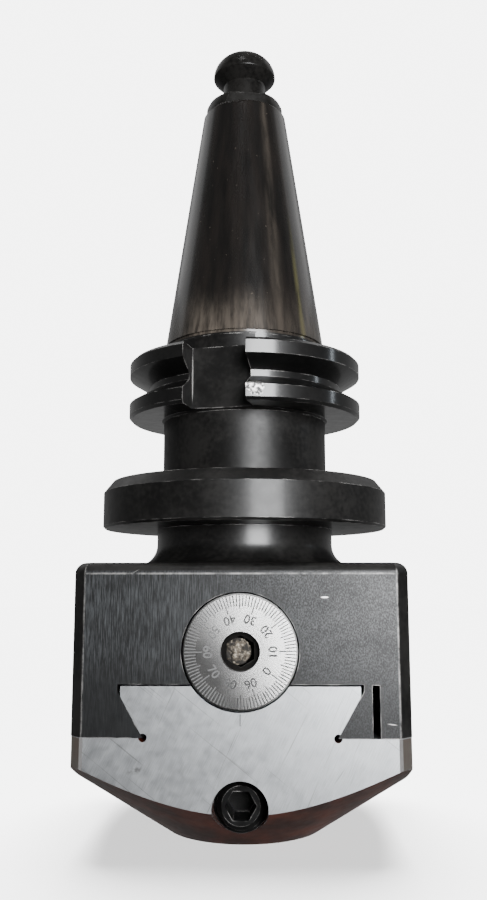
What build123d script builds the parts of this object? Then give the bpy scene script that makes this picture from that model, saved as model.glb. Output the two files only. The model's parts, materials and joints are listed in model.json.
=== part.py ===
from build123d import *
import os
from math import cos, radians, sin, tan

# Boring head on a steep-taper arbor, in millimetres.
# The origin is on the axis at the taper's gauge line. +Z points to the retention knob,
# -Y to the dial side and +X to the side with the flexure slit.

# Clearances that fits share
slide_gap = 0.05  # between the slide and its ways, and at the ends of the dial's rib
thread_gap = 0.05  # radial, round every screw and in the nut
seat_gap = 0.03  # radial, for pieces that are seated and stay put
turn_gap = 0.35  # radial, round the dial and its collar
roof_gap = 0.4  # between the dovetail's top and the body
end_gap = 0.6  # behind a piece at the end of its bore or travel

# Taper arbor
gauge_radius = 22.225
taper_length = 71.3
taper_rate = 7 / 48  # change of radius over length
taper_end_break = 0.8
undercut_height = 0.4
undercut_width = 1.3
undercut_depth = 0.7
flange_radius = 31.75
flange_drop = 3.175  # from the gauge line to the flange's upper face
flange_thickness = 15.875
flange_edge = 0.8
groove_opening = 7.8
groove_angle = 60
groove_root_radius = 26.4
key_slot_width = 16.1
key_slot_floor = 22.6  # from the axis
key_slot_turn = 12.7  # degrees, from the dial side towards -X
neck_radius = 22.225
neck_length = 17.28
neck_chamfer = 0.6
disc_radius = 38.1
disc_thickness = 12.45
disc_chamfer_in = 2.4
disc_chamfer_down = 3.0
disc_edge = 0.6
spigot_radius = 19.05
spigot_edge = 1.0

# Retention knob
stud_radius = 7.9
stud_length = 25.0
collar_radius = 11.0
collar_height = 3.3
collar_taper_height = 1.2
collar_top_radius = 10.4
collar_flats = 18.4  # across the two spanner flats
collar_turn = 8.0  # degrees, of the flats from the dial side towards +X
knob_neck_radius = 6.2
knob_neck_height = 6.3
knob_radius = 9.0
knob_rim = 0.3
knob_crown_height = 7.3
knob_crown_bands = 5  # cones that make up the rounded crown

# Head body
swing_radius = 50.8
head_width = 78.0
head_depth = 71.44
body_height = 39.35  # from the ways up to the shoulder
body_top_round = 2.6
edge_break = 0.5
boss_radius = 23.6
boss_height = 9.7
boss_flare = 5.0  # radius of the hollow round the boss's foot
boss_flare_bands = 4  # cones that make up that hollow

# Dovetail and flexure gib
dovetail_neck_width = 44.1
dovetail_height = 11.35
dovetail_angle = 60
dovetail_trim = 1.3  # taken off each sharp top corner of the slide
corner_gap = 0.7  # between that trimmed corner and the body
relief_radius = 0.95
slit_offset = 29.9  # from the axis to the leaf's outer face
slit_width = 1.7
slit_height = 11.65

# Tool slide
slide_wall_height = 6.95  # straight part at the swing radius
cone_angle = 32.8  # of the underside, from level
bottom_radius = 20.0
tool_bore_radius = 12.7
tool_bore_depth = 32.0
tool_bore_edge = 0.8

# Dial and lead screw
dial_axis_height = 19.05  # above the ways
dial_radius = 13.2
dial_thickness = 5.5
dial_edge = 0.4
rib_thickness = 4.0  # of the slide's rib between the dial and its collar
hub_radius = 7.3
thrust_radius = 11.0
thrust_thickness = 4.0
journal_radius = 4.5
journal_recess = 2.4  # from the dial's face to the screw's end
lead_radius = 4.7625
lead_length = 44.0  # threaded part, behind the thrust collar
lead_tip = 1.0
lead_socket = 6.35  # across flats
lead_socket_depth = 6.8
dial_pin_radius = 1.0
dial_pin_length = 17.0
travel_in = 2.54
nut_radius = 6.35
nut_cover = 7.05  # solid between the nut's bore and the arbor's bore
nut_length = 20.0
nut_inset = 14.0  # from the thrust collar's back to the nut

# Set screws
gib_screw_radius = 3.175
gib_screw_recess = 0.75  # from the body's side to the screw's face
gib_screw_socket = 3.175
gib_screw_height = 5.7  # above the ways
gib_screw_spacing = 22.0
clamp_screw_radius = 6.35
clamp_screw_drop = 15.65  # below the ways
clamp_screw_recess = 5.0  # from the slide's front to the screw's face
clamp_screw_socket = 6.35
clamp_tip_gap = 0.3  # between the screw's tip and the tool bore
lock_screw_radius = 2.5
lock_screw_length = 3.0
lock_screw_socket = 2.5
lock_pad_length = 1.2
nut_screw_radius = 2.0
nut_screw_recess = 0.6  # from the arbor's bore to the screw's face
nut_screw_socket = 2.0
screw_edge = 0.4
socket_share = 0.45  # of a set screw's length

# Levels along the axis and places that follow from the sizes
small_radius = gauge_radius - taper_length * taper_rate
flange_top = -flange_drop
flange_bottom = flange_top - flange_thickness
groove_middle = (flange_top + flange_bottom) / 2
groove_slope = tan(radians(groove_angle / 2))
groove_root = groove_opening / 2 - (flange_radius - groove_root_radius) * groove_slope
disc_top = flange_bottom - neck_length
disc_bottom = disc_top - disc_thickness
body_top = disc_bottom - boss_height
ways = body_top - body_height
front = -head_depth / 2
side = head_width / 2

lean = tan(radians(90 - dovetail_angle))
flank_gap = slide_gap / cos(radians(90 - dovetail_angle))
slide_top = ways + dovetail_height
roof = slide_top + roof_gap
neck_half = dovetail_neck_width / 2
trim_half = neck_half + dovetail_height * lean - dovetail_trim
trim_level = slide_top - dovetail_trim / lean
mouth_half = neck_half + flank_gap
corner_half = trim_half + corner_gap
corner_level = ways + (corner_half - mouth_half) / lean

cone_start = ways - slide_wall_height
cone_slope = tan(radians(cone_angle))
slide_bottom = cone_start - (swing_radius - bottom_radius) * cone_slope
clamp_level = ways - clamp_screw_drop
clamp_screw_length = head_depth / 2 - clamp_screw_recess - tool_bore_radius - clamp_tip_gap

dial_level = ways + dial_axis_height
nut_top = dial_level + nut_radius + seat_gap
bore_floor = nut_top + nut_cover
spigot_bottom = bore_floor + end_gap
nut_screw_length = nut_cover - nut_screw_recess
rib_front = front + dial_thickness
thrust_front = rib_front + rib_thickness
thrust_back = thrust_front + thrust_thickness
nut_front = thrust_back + nut_inset
nut_back = nut_front + nut_length
lead_end = thrust_back + lead_length
lead_bore_end = lead_end + travel_in + end_gap
nut_screw_place = (nut_front + nut_back) / 2
gib_level = ways + gib_screw_height
gib_face = slit_offset + slide_gap
gib_screw_length = side - gib_screw_recess - gib_face

# Planes that look along the three directions in which the pieces are turned and drilled
front_plane = Plane((0, front, dial_level), x_dir=(1, 0, 0), z_dir=(0, 1, 0))
side_plane = Plane((side, 0, gib_level), x_dir=(0, 1, 0), z_dir=(1, 0, 0))
leaf_plane = Plane((gib_face, 0, gib_level), x_dir=(0, 1, 0), z_dir=(1, 0, 0))


def set_screw(seat, radius, length, socket):
    """A socket set screw whose flat point stands on the seat plane and which runs along its normal."""
    with BuildPart() as screw:
        with BuildSketch(seat):
            Circle(radius)
        extrude(amount=length)
        chamfer(screw.edges().filter_by(GeomType.CIRCLE), screw_edge)
        with BuildSketch(seat.offset(length)):
            RegularPolygon(socket / 2, 6, major_radius=False)
        extrude(amount=-length * socket_share, mode=Mode.SUBTRACT)
    return screw.part


def head_outline():
    """The plan shared by body and slide: a block whose corners are turned to the swing."""
    Circle(swing_radius)
    Rectangle(head_width, head_depth, mode=Mode.INTERSECT)


# Taper arbor: one turning, then the drive-key slots and the hole for the knob's stud
with BuildPart() as taper_arbor:
    with BuildSketch(Plane.XZ):
        with BuildLine():
            undercut_low = gauge_radius - undercut_depth
            undercut_end = undercut_height + undercut_width
            Polyline(
                (0, taper_length),
                (small_radius - taper_end_break, taper_length),
                (small_radius, taper_length - taper_end_break),
                (gauge_radius - undercut_end * taper_rate, undercut_end),
                (undercut_low, undercut_end),
                (undercut_low, undercut_height),
                (gauge_radius, undercut_height),
                (gauge_radius, flange_top),
                (flange_radius - flange_edge, flange_top),
                (flange_radius, flange_top - flange_edge),
                (flange_radius, groove_middle + groove_opening / 2),
                (groove_root_radius, groove_middle + groove_root),
                (groove_root_radius, groove_middle - groove_root),
                (flange_radius, groove_middle - groove_opening / 2),
                (flange_radius, flange_bottom + flange_edge),
                (flange_radius - flange_edge, flange_bottom),
                (neck_radius + neck_chamfer, flange_bottom),
                (neck_radius, flange_bottom - neck_chamfer),
                (neck_radius, disc_top),
                (disc_radius - disc_chamfer_in, disc_top),
                (disc_radius, disc_top - disc_chamfer_down),
                (disc_radius, disc_bottom + disc_edge),
                (disc_radius - disc_edge, disc_bottom),
                (spigot_radius, disc_bottom),
                (spigot_radius, spigot_bottom + spigot_edge),
                (spigot_radius - spigot_edge, spigot_bottom),
                (0, spigot_bottom),
                close=True,
            )
        make_face()
    revolve(axis=Axis.Z)
    with BuildSketch(Plane.XY.offset(flange_bottom)):
        slot_depth = flange_radius - key_slot_floor + end_gap
        with PolarLocations(key_slot_floor + slot_depth / 2, 2, start_angle=-90 - key_slot_turn):
            Rectangle(slot_depth, key_slot_width)
    extrude(amount=flange_thickness, mode=Mode.SUBTRACT)
    with BuildSketch(Plane.XY.offset(taper_length)):
        Circle(stud_radius + thread_gap)
    extrude(amount=-(stud_length + end_gap), mode=Mode.SUBTRACT)

# Retention knob: stud, collar, neck and rounded head, with two spanner flats on the collar
with BuildPart() as retention_knob:
    collar_top = taper_length + collar_height
    knob_low = collar_top + knob_neck_height
    rim_low = knob_low + knob_radius - knob_neck_radius
    rim_high = rim_low + knob_rim
    crown_turns = [radians(90 * band / knob_crown_bands) for band in range(knob_crown_bands)]
    crown = [
        (knob_radius * cos(turn), rim_high + knob_crown_height * sin(turn)) for turn in crown_turns
    ]
    with BuildSketch(Plane.XZ):
        with BuildLine():
            Polyline(
                (0, taper_length - stud_length),
                (stud_radius, taper_length - stud_length),
                (stud_radius, taper_length),
                (collar_radius, taper_length),
                (collar_radius, collar_top - collar_taper_height),
                (collar_top_radius, collar_top),
                (knob_neck_radius, collar_top),
                (knob_neck_radius, knob_low),
                (knob_radius, rim_low),
                *crown,
                (0, rim_high + knob_crown_height),
                close=True,
            )
        make_face()
    revolve(axis=Axis.Z)
    with BuildSketch(Plane.XY.offset(taper_length)):
        flat_depth = collar_radius - collar_flats / 2
        with PolarLocations((collar_flats + flat_depth) / 2, 2, start_angle=-90 + collar_turn):
            Rectangle(flat_depth, 2 * collar_radius)
    extrude(amount=collar_height, mode=Mode.SUBTRACT)

# Head body: block, boss, dovetail, flexure slit, dial pocket and the holes of its screws
with BuildPart() as head_body:
    with BuildSketch(Plane.XY.offset(ways)):
        head_outline()
    extrude(amount=body_height)
    fillet(head_body.faces().sort_by(Axis.Z)[-1].edges(), body_top_round)
    flare_turns = [radians(90 * band / boss_flare_bands) for band in range(boss_flare_bands + 1)]
    flare = [
        (boss_radius + boss_flare * (1 - sin(turn)), body_top + boss_flare * (1 - cos(turn)))
        for turn in flare_turns
    ]
    with BuildSketch(Plane.XZ):
        with BuildLine():
            Polyline((0, body_top), *flare, (boss_radius, disc_bottom), (0, disc_bottom), close=True)
        make_face()
    revolve(axis=Axis.Z)
    with BuildSketch(Plane.XY.offset(disc_bottom)):
        Circle(spigot_radius + thread_gap)
    extrude(amount=bore_floor - disc_bottom, mode=Mode.SUBTRACT)
    with BuildSketch(Plane.XZ):
        with BuildLine():
            Polyline(
                (-mouth_half, ways),
                (-corner_half, corner_level),
                (-corner_half, roof),
                (corner_half, roof),
                (corner_half, corner_level),
                (mouth_half, ways),
                close=True,
            )
        make_face()
        with Locations((slit_offset, ways)):
            Rectangle(slit_width, slit_height, align=(Align.MIN, Align.MIN))
    extrude(amount=head_depth, both=True, mode=Mode.SUBTRACT)
    with BuildSketch(front_plane):
        Circle(dial_radius + turn_gap)
    extrude(amount=dial_thickness + travel_in + end_gap, mode=Mode.SUBTRACT)
    with BuildSketch(front_plane):
        Circle(thrust_radius + turn_gap)
    extrude(amount=thrust_back - front + travel_in + end_gap, mode=Mode.SUBTRACT)
    with BuildSketch(front_plane):
        Circle(nut_radius + seat_gap)
    extrude(amount=lead_bore_end - front, mode=Mode.SUBTRACT)
    with BuildSketch(side_plane):
        with GridLocations(gib_screw_spacing, 0, 3, 1):
            Circle(gib_screw_radius + thread_gap)
    extrude(amount=slit_offset - side, mode=Mode.SUBTRACT)
    with BuildSketch(Plane.XY.offset(bore_floor)):
        with Locations((0, nut_screw_place)):
            Circle(nut_screw_radius + thread_gap)
    extrude(amount=dial_level - bore_floor, mode=Mode.SUBTRACT)
    with BuildSketch(Plane.XZ):
        with Locations((0, (disc_bottom + body_top) / 2)):
            Circle(lock_screw_radius + thread_gap)
    extrude(amount=-(boss_radius + boss_flare), mode=Mode.SUBTRACT)

# Tool slide: coned block, dovetail, seats for the dial and its collar, tool bore and clamp hole
with BuildPart() as tool_slide:
    with BuildSketch(Plane.XY.offset(slide_bottom)):
        head_outline()
    extrude(amount=ways - slide_gap - slide_bottom)
    chamfer(tool_slide.edges().filter_by(Axis.Z), edge_break)
    with BuildSketch(Plane.XZ):
        with BuildLine():
            Polyline(
                (0, slide_bottom),
                (bottom_radius, slide_bottom),
                (swing_radius, cone_start),
                (swing_radius, ways),
                (0, ways),
                close=True,
            )
        make_face()
    revolve(axis=Axis.Z, mode=Mode.INTERSECT)
    with BuildSketch(Plane.XZ):
        with BuildLine():
            Polyline(
                (-neck_half, ways),
                (-trim_half, trim_level),
                (-trim_half, slide_top),
                (trim_half, slide_top),
                (trim_half, trim_level),
                (neck_half, ways),
                (neck_half, ways - slide_gap),
                (-neck_half, ways - slide_gap),
                close=True,
            )
        make_face()
    extrude(amount=head_depth / 2, both=True)
    with BuildSketch(Plane.XZ):
        with Locations((neck_half, ways), (-neck_half, ways)):
            Circle(relief_radius)
    extrude(amount=head_depth, both=True, mode=Mode.SUBTRACT)
    with BuildSketch(front_plane):
        Circle(dial_radius + turn_gap)
    extrude(amount=dial_thickness + slide_gap, mode=Mode.SUBTRACT)
    with BuildSketch(front_plane.offset(thrust_front - slide_gap - front)):
        Circle(thrust_radius + turn_gap)
    extrude(amount=thrust_thickness + 2 * slide_gap, mode=Mode.SUBTRACT)
    with BuildSketch(Plane.XY.offset(slide_bottom)):
        Circle(tool_bore_radius)
    extrude(amount=tool_bore_depth, mode=Mode.SUBTRACT)
    bore_rings = tool_slide.edges().filter_by(GeomType.CIRCLE).sort_by(Axis.Z)
    chamfer([ring for ring in bore_rings if abs(ring.radius - tool_bore_radius) < 0.01][0], tool_bore_edge)
    with BuildSketch(Plane.XZ.offset(-front)):
        with Locations((0, clamp_level)):
            Circle(clamp_screw_radius + thread_gap)
    extrude(amount=front, mode=Mode.SUBTRACT)

# Dial: graduated face, hub and thrust collar in one turning
with BuildPart() as dial_ring:
    with BuildSketch(front_plane):
        Circle(dial_radius)
    extrude(amount=dial_thickness)
    chamfer(dial_ring.edges().filter_by(GeomType.CIRCLE).sort_by(Axis.Y)[0], dial_edge)
    with BuildSketch(front_plane.offset(dial_thickness)):
        Circle(hub_radius)
    extrude(amount=rib_thickness)
    with BuildSketch(front_plane.offset(dial_thickness + rib_thickness)):
        Circle(thrust_radius)
    extrude(amount=thrust_thickness)
    with BuildSketch(front_plane):
        Circle(journal_radius + seat_gap)
    extrude(amount=thrust_back - front, mode=Mode.SUBTRACT)
    with BuildSketch(Plane.YZ):
        with Locations(((thrust_front + thrust_back) / 2, dial_level)):
            Circle(dial_pin_radius + seat_gap)
    extrude(amount=thrust_radius, both=True, mode=Mode.SUBTRACT)

# Lead screw: socket end, journal in the dial and threaded part
with BuildPart() as lead_screw:
    with BuildSketch(front_plane.offset(journal_recess)):
        Circle(journal_radius)
    extrude(amount=thrust_back - front - journal_recess)
    with BuildSketch(front_plane.offset(thrust_back - front)):
        Circle(lead_radius)
    extrude(amount=lead_length)
    chamfer(lead_screw.edges().filter_by(GeomType.CIRCLE).sort_by(Axis.Y)[-1], lead_tip)
    with BuildSketch(front_plane.offset(journal_recess)):
        RegularPolygon(lead_socket / 2, 6, major_radius=False, rotation=30)
    extrude(amount=lead_socket_depth, mode=Mode.SUBTRACT)
    with BuildSketch(Plane.YZ):
        with Locations(((thrust_front + thrust_back) / 2, dial_level)):
            Circle(dial_pin_radius + seat_gap)
    extrude(amount=thrust_radius, both=True, mode=Mode.SUBTRACT)

# Cross pin through the thrust collar and the journal
with BuildPart() as dial_pin:
    with BuildSketch(Plane.YZ):
        with Locations(((thrust_front + thrust_back) / 2, dial_level)):
            Circle(dial_pin_radius)
    extrude(amount=dial_pin_length / 2, both=True)

# Bronze nut in the body
with BuildPart() as lead_nut:
    with BuildSketch(front_plane.offset(nut_front - front)):
        Circle(nut_radius)
        Circle(lead_radius + thread_gap, mode=Mode.SUBTRACT)
    extrude(amount=nut_length)
    chamfer(lead_nut.edges().group_by(Axis.Y)[0].sort_by(SortBy.RADIUS)[-1], screw_edge)

# Set screws and the pad of the arbor's lock
nut_screw_seat = Plane((0, nut_screw_place, nut_top))
nut_set_screw = set_screw(nut_screw_seat, nut_screw_radius, nut_screw_length, nut_screw_socket)
gib_screws = {}
for place, name in enumerate(("gib_screw_front", "slide_lock_screw", "gib_screw_back")):
    gib_seat = leaf_plane.offset(0)
    gib_seat.origin += Vector(0, (place - 1) * gib_screw_spacing, 0)
    gib_screws[name] = set_screw(gib_seat, gib_screw_radius, gib_screw_length, gib_screw_socket)
clamp_seat = Plane(
    (0, -tool_bore_radius - clamp_tip_gap, clamp_level), x_dir=(1, 0, 0), z_dir=(0, -1, 0)
)
front_clamp_screw = set_screw(clamp_seat, clamp_screw_radius, clamp_screw_length, clamp_screw_socket)
pad_seat = Plane(
    (0, spigot_radius, (disc_bottom + body_top) / 2), x_dir=(1, 0, 0), z_dir=(0, 1, 0)
)
arbor_lock_screw = set_screw(
    pad_seat.offset(lock_pad_length + seat_gap), lock_screw_radius, lock_screw_length, lock_screw_socket
)
with BuildPart() as arbor_lock_pad:
    with BuildSketch(pad_seat.offset(seat_gap)):
        Circle(lock_screw_radius)
    extrude(amount=lock_pad_length)

# Every piece by its name, each written to a file of its own
pieces = {
    "taper_arbor": taper_arbor.part,
    "retention_knob": retention_knob.part,
    "head_body": head_body.part,
    "tool_slide": tool_slide.part,
    "dial_ring": dial_ring.part,
    "lead_screw": lead_screw.part,
    "dial_pin": dial_pin.part,
    "lead_nut": lead_nut.part,
    "nut_set_screw": nut_set_screw,
    "front_clamp_screw": front_clamp_screw,
    "arbor_lock_screw": arbor_lock_screw,
    "arbor_lock_pad": arbor_lock_pad.part,
    **gib_screws,
}
os.makedirs("parts", exist_ok=True)
for name, piece in pieces.items():
    piece.label = name
    export_step(piece, f"parts/{name}.step")
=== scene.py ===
import json
import logging
import math
from abc import ABC, abstractmethod
from dataclasses import dataclass, field
from enum import Enum

import bmesh
import bpy
from mathutils import Matrix, Vector, noise

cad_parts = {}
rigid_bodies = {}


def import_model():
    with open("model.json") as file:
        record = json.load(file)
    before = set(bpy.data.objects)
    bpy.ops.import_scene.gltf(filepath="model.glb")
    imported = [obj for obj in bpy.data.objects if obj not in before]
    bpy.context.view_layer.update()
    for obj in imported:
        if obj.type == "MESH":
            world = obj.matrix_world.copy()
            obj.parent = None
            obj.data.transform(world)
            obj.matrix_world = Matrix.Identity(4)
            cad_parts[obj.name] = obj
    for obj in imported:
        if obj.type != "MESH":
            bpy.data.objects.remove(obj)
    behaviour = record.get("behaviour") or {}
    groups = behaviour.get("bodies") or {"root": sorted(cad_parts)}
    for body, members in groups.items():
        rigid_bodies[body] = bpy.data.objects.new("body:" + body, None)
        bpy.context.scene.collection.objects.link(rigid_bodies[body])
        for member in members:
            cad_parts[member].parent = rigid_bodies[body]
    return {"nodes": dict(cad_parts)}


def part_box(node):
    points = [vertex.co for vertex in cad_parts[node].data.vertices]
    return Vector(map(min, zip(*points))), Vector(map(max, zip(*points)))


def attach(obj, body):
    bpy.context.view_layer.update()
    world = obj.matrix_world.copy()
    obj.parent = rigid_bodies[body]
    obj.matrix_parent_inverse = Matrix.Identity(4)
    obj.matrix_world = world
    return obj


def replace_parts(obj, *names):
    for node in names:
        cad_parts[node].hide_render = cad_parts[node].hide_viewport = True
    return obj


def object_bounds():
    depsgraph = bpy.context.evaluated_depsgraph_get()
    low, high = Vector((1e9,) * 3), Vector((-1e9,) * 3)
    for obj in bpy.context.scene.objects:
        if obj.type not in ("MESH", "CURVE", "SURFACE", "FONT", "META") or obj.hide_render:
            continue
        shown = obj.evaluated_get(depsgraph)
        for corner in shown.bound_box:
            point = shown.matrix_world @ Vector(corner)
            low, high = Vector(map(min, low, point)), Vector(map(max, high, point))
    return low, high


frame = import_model()
cad_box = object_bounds()

log = logging.getLogger("boring_head")

# Lengths are in metres, as the frame is. MM turns a size in millimetres into metres.
MM = 0.001

# Points nearer than this are one point.
MERGE = 0.001 * MM

# How far one finish takes to give way to another.
FADE = 0.1 * MM

Colour = tuple[float, float, float, float]
Triple = tuple[float, float, float]
Pair = tuple[float, float]
Socket = bpy.types.NodeSocket
Feed = float | Colour | Triple | Socket


class Body(Enum):
    """The bodies that pieces ride on."""

    HEAD = "head"
    SLIDE = "slide"
    DIAL = "dial"
    CLAMP = "clamp"


class Slot(Enum):
    """The record's material slots, listed by name."""

    KNOB = "knob_steel"
    BODY = "body_steel"
    SLIDE = "slide_steel"
    DIAL = "dial_chrome"
    LEAD = "lead_steel"
    SCREW = "screw_steel"


class Reach(Enum):
    """What a lamp lights: the floor, the whole head, or only the head's bright steel."""

    FLOOR = "floor_only"
    HEAD = "head_only"
    BRIGHT = "bright_steel_only"


class Axis(Enum):
    """Axes that a lay of grinding or turning marks runs along."""

    X = 0
    Y = 1
    Z = 2

    def stretch(self, length: float) -> Triple:
        """Feature size of a pattern that is drawn out along this axis."""
        return tuple(length if axis is self else 1.0 for axis in Axis)


def grey(value: float, warmth: float = 0.0) -> Colour:
    """A grey in linear colour.

    Args:
        value: Brightness from 0 to 1.
        warmth: Share by which red is raised and blue lowered.

    Returns:
        The colour with an alpha of 1.
    """
    return (value * (1 + warmth), value, value * (1 - warmth), 1.0)


class NodeBench:
    """A material's node tree, with short ways to add nodes and join them."""

    def __init__(self, name: str) -> None:
        """Makes the material with its shader.

        Args:
            name: Name of the new material.
        """
        self.material = bpy.data.materials.new(name)
        self.material.use_nodes = True
        self.tree = self.material.node_tree
        self.shader = self.tree.nodes["Principled BSDF"]
        coordinates = self.add("ShaderNodeTexCoord")
        self.place: Socket = coordinates.outputs["Object"]
        self.facing: Socket = coordinates.outputs["Normal"]

    def feed(self, socket: Socket, value: Feed) -> None:
        """Links a socket into another, or sets its constant value.

        Args:
            socket: The input to fill.
            value: An output to link from, or a constant.
        """
        if isinstance(value, bpy.types.NodeSocket):
            self.tree.links.new(value, socket)
        else:
            socket.default_value = value

    def add(self, kind: str, inputs: dict[str | int, Feed] | None = None,
            **settings: object) -> bpy.types.Node:
        """Adds a node.

        Args:
            kind: The node's type name.
            inputs: Values or sockets for its inputs, by name or index.
            settings: The node's own properties.

        Returns:
            The new node.
        """
        node = self.tree.nodes.new(kind)
        for key, value in settings.items():
            setattr(node, key, value)
        for key, value in (inputs or {}).items():
            self.feed(node.inputs[key], value)
        return node

    def finish(self, **inputs: Feed) -> None:
        """Fills the shader's inputs, with _ in place of spaces in their names."""
        for key, value in inputs.items():
            self.feed(self.shader.inputs[key.replace("_", " ")], value)

    def calc(self, operation: str, *values: Feed) -> Socket:
        """A Math node's result.

        Args:
            operation: The node's operation.
            values: Its inputs, in order.

        Returns:
            The result's socket.
        """
        node = self.add("ShaderNodeMath", operation=operation)
        for socket, value in zip(node.inputs, values):
            self.feed(socket, value)
        return node.outputs[0]

    def times(self, *values: Feed) -> Socket:
        """The product of several values.

        Args:
            values: The values, a socket first.

        Returns:
            The product's socket.
        """
        product = values[0]
        for value in values[1:]:
            product = self.calc("MULTIPLY", product, value)
        return product

    def unsigned(self, value: Socket) -> Socket:
        """A value without its sign."""
        return self.calc("ABSOLUTE", value)

    def off(self, value: Socket, place: float) -> Socket:
        """How far a value is from a place, to either side."""
        return self.unsigned(self.calc("SUBTRACT", value, place))

    def radius(self, across: Socket, up: Socket) -> Socket:
        """Distance from an axis, by the two coordinates across it."""
        return self.calc("SQRT", self.calc("ADD", self.times(across, across), self.times(up, up)))

    def length(self, vector: Socket) -> Socket:
        """A vector's length."""
        return self.add("ShaderNodeVectorMath", {0: vector}, operation="LENGTH").outputs["Value"]

    def ramp(self, value: Socket, start: float, end: float) -> Socket:
        """A smooth step from 0 at start to 1 at end; start may be the higher one."""
        inputs = {"Value": value, "From Min": start, "From Max": end}
        return self.add("ShaderNodeMapRange", inputs, interpolation_type="SMOOTHSTEP").outputs["Result"]

    def span(self, value: Socket, low: float, high: float) -> Socket:
        """Spreads a value from 0 to 1 over low to high."""
        inputs = {"Value": value, "To Min": low, "To Max": high}
        return self.add("ShaderNodeMapRange", inputs).outputs["Result"]

    def parts(self, vector: Socket) -> tuple[Socket, Socket, Socket]:
        """A vector's X, Y and Z."""
        node = self.add("ShaderNodeSeparateXYZ", {0: vector})
        return node.outputs[0], node.outputs[1], node.outputs[2]

    def moved(self, centre: Triple = (0, 0, 0), turn: Triple = (0, 0, 0),
              size: Triple = (1, 1, 1)) -> Socket:
        """Object coordinates taken from a centre, turned and divided by a feature size.

        Args:
            centre: Where the pattern's own origin lies.
            turn: The pattern's turn about X, Y and Z in radians.
            size: How far the pattern is drawn out along its own axes.

        Returns:
            The vector's socket.
        """
        inputs = {"Vector": self.place, "Location": centre, "Rotation": turn, "Scale": size}
        return self.add("ShaderNodeMapping", inputs, vector_type="TEXTURE").outputs[0]

    def noise(self, scale: float, detail: float = 2.0, vector: Socket | None = None,
              rough: float = 0.5) -> Socket:
        """Noise in object space.

        Args:
            scale: Features per metre.
            detail: Octaves of finer noise.
            vector: Coordinates, or None for plain object coordinates.
            rough: How strong the finer octaves are.

        Returns:
            The noise's value, mostly from 0.3 to 0.7.
        """
        inputs = {"Vector": vector or self.place, "Scale": scale, "Detail": detail, "Roughness": rough}
        return self.add("ShaderNodeTexNoise", inputs).outputs[0]

    def mix(self, share: Feed, first: Feed, second: Feed) -> Socket:
        """A colour between two.

        Args:
            share: 0 for the first colour, 1 for the second.
            first: The first colour.
            second: The second colour.

        Returns:
            The mixed colour's socket.
        """
        node = self.add("ShaderNodeMix", data_type="RGBA")
        for socket, value in zip((node.inputs[0], node.inputs[6], node.inputs[7]), (share, first, second)):
            self.feed(socket, value)
        return node.outputs[2]

    def blend(self, share: Feed, first: Feed, second: Feed) -> Socket:
        """A number between two.

        Args:
            share: 0 for the first number, 1 for the second.
            first: The first number.
            second: The second number.

        Returns:
            The result's socket.
        """
        node = self.add("ShaderNodeMix", data_type="FLOAT")
        for socket, value in zip((node.inputs[0], node.inputs[2], node.inputs[3]), (share, first, second)):
            self.feed(socket, value)
        return node.outputs[0]

    def edge(self, radius: float, start: float = 0.995, end: float = 0.86) -> Socket:
        """Where a sharp edge lies within a radius, from 0 on a flat to 1 at the edge.

        Args:
            radius: How far from the edge it reaches.
            start: Likeness of the rounded and the true normal at which it begins.
            end: Likeness at which it is full.

        Returns:
            The mask's socket.
        """
        rounded = self.add("ShaderNodeBevel", {"Radius": radius}, samples=6).outputs[0]
        normal = self.add("ShaderNodeNewGeometry").outputs["Normal"]
        alike = self.add("ShaderNodeVectorMath", {0: rounded, 1: normal}, operation="DOT_PRODUCT")
        return self.ramp(alike.outputs["Value"], start, end)

    def spot(self, centre: Triple, inner: float, outer: float, size: Triple = (1, 1, 1),
             tilt: float = 0.0) -> Socket:
        """A round patch, 1 within inner and 0 past outer.

        Args:
            centre: The patch's middle.
            inner: Radius of its full part.
            outer: Radius at which it has faded out.
            size: How far it is drawn out along X, Y and Z.
            tilt: Turn about Y in radians, which lowers its +X end.

        Returns:
            The mask's socket.
        """
        return self.ramp(self.length(self.moved(centre, (0.0, tilt, 0.0), size)), outer, inner)

    def most(self, *masks: Socket) -> Socket:
        """The highest of several masks at each point.

        Args:
            masks: The masks.

        Returns:
            The highest mask's socket.
        """
        highest = masks[0]
        for mask in masks[1:]:
            highest = self.calc("MAXIMUM", highest, mask)
        return highest

    def scratches(self, scale: float, turn: Triple, lay: Axis, sparse: float) -> Socket:
        """Fine straight scratches.

        Args:
            scale: Scratches per metre across their lay.
            turn: Turn of the lay in radians.
            lay: The axis they run along before the turn.
            sparse: Noise level above which a scratch shows; higher is fewer.

        Returns:
            The mask's socket.
        """
        lines = self.noise(scale, 1.0, self.moved(turn=turn, size=lay.stretch(60.0)))
        return self.ramp(lines, sparse, sparse + 0.05)

    def bump(self, height: Socket, depth: float, strength: float = 1.0,
             normal: Socket | None = None) -> Socket:
        """A normal bent by a height.

        Args:
            height: Height from 0 to 1.
            depth: What a height of 1 is worth.
            strength: Share of the effect.
            normal: Another bent normal to build on.

        Returns:
            The normal's socket.
        """
        inputs = {"Strength": strength, "Distance": depth, "Height": height}
        if normal is not None:
            inputs["Normal"] = normal
        return self.add("ShaderNodeBump", inputs).outputs[0]


class Finish(ABC):
    """A surface finish that makes its own material."""

    name: str

    def material(self) -> bpy.types.Material:
        """The finish's material, made once.

        Returns:
            The material.
        """
        made = bpy.data.materials.get(self.name)
        if made is None:
            bench = NodeBench(self.name)
            self.lay(bench)
            made = bench.material
        return made

    @abstractmethod
    def lay(self, bench: NodeBench) -> None:
        """Lays the finish's nodes on a bench.

        Args:
            bench: The empty material's bench.
        """


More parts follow.
